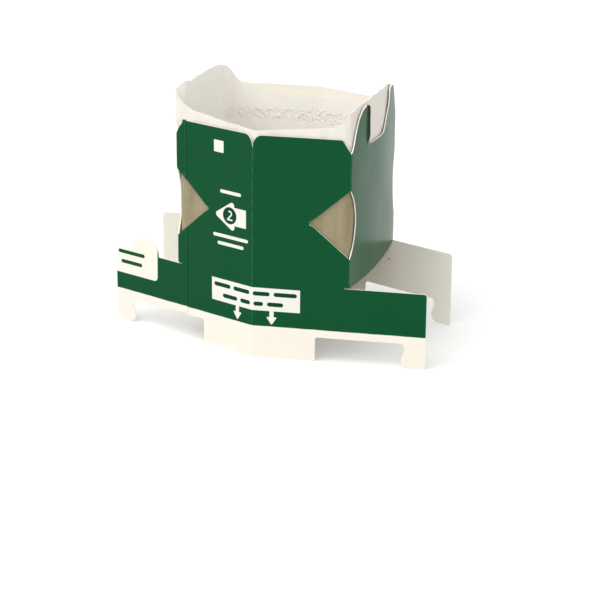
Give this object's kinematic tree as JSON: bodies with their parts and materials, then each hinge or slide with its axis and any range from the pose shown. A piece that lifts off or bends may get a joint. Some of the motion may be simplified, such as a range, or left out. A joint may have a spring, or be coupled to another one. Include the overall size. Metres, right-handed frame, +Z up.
{
  "type": "drip coffee bag",
  "caption": "Single-serve drip coffee bag: a folded card holder with hook legs that hang on a cup rim, an open non-woven filter bag glued inside, and ground coffee in the bag.",
  "frame": {"origin": "middle of the box in plan, at the height of the slots' top edges, where a cup rim sits", "axes": "+Z up, -Y towards the front crease with the notched panels, +X to the right seen from the front"},
  "size_m": [0.1266, 0.075, 0.0894],
  "materials": {
    "printed_card": "glossy green print outside, bare cream card along the lower edge and inside",
    "nonwoven_cloth": "matt thin non-woven cloth, slightly see-through",
    "ground_coffee": "rough dark brown grounds"
  },
  "bodies": {
    "root": {"holder": "printed_card", "filter_bag": "nonwoven_cloth", "ground_coffee": "ground_coffee"}
  },
  "joints": []
}
